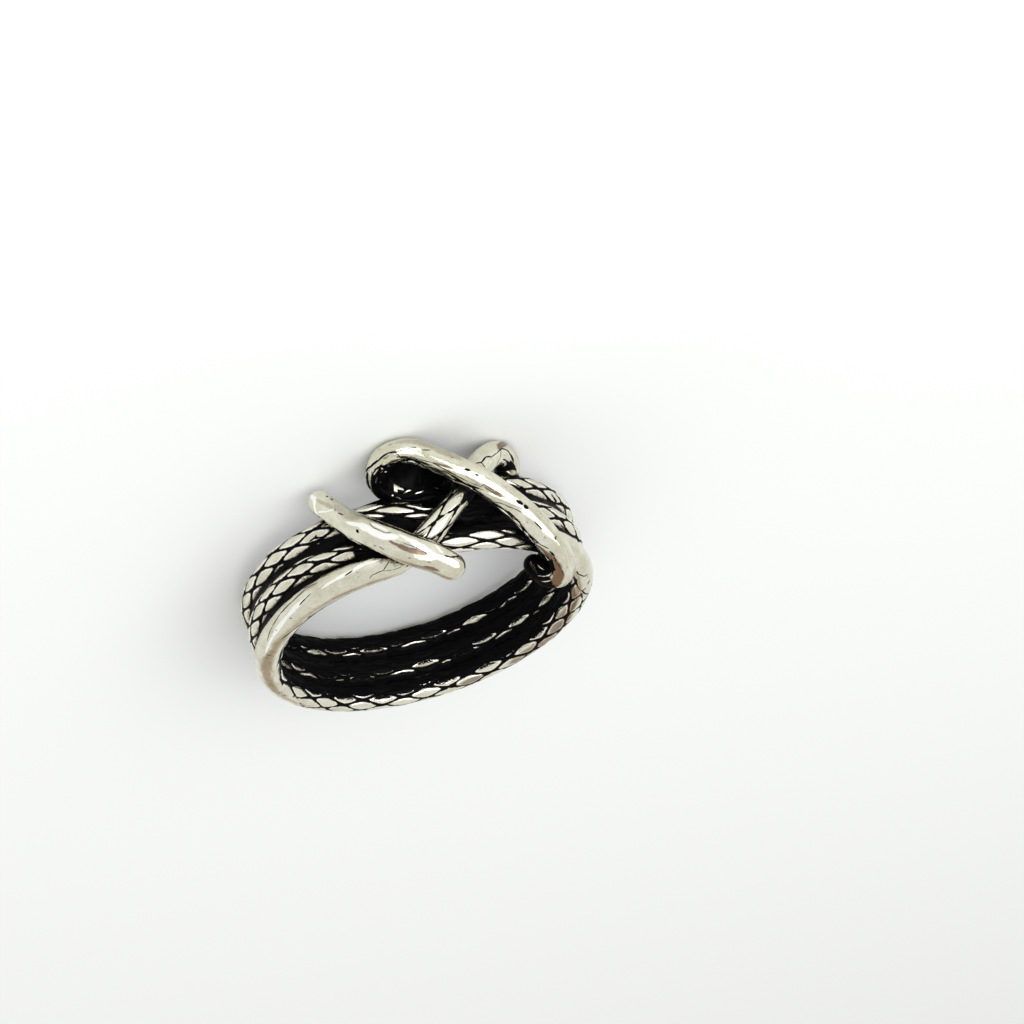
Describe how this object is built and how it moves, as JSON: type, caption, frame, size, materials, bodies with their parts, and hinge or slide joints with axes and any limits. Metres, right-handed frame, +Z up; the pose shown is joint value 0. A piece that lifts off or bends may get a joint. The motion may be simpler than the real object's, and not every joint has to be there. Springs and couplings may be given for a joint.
{
  "type": "rope ring",
  "caption": "Finger ring of scaled silver rope wound in parallel turns, its ends crossed in an open knot with a short smooth bar across it.",
  "frame": {"origin": "where the finger axis meets the surface that the ring lies on", "axes": "+Z up along the finger axis, but for the 3 degree lean of the lying ring; -Y towards the knot; +X to the right of someone who faces the knot"},
  "size_m": [0.0229, 0.0256, 0.0095],
  "materials": {
    "silver": "polished cast silver, black oxide in the grooves and on the inside"
  },
  "bodies": {
    "root": {"rope_ring": "silver"}
  },
  "joints": []
}
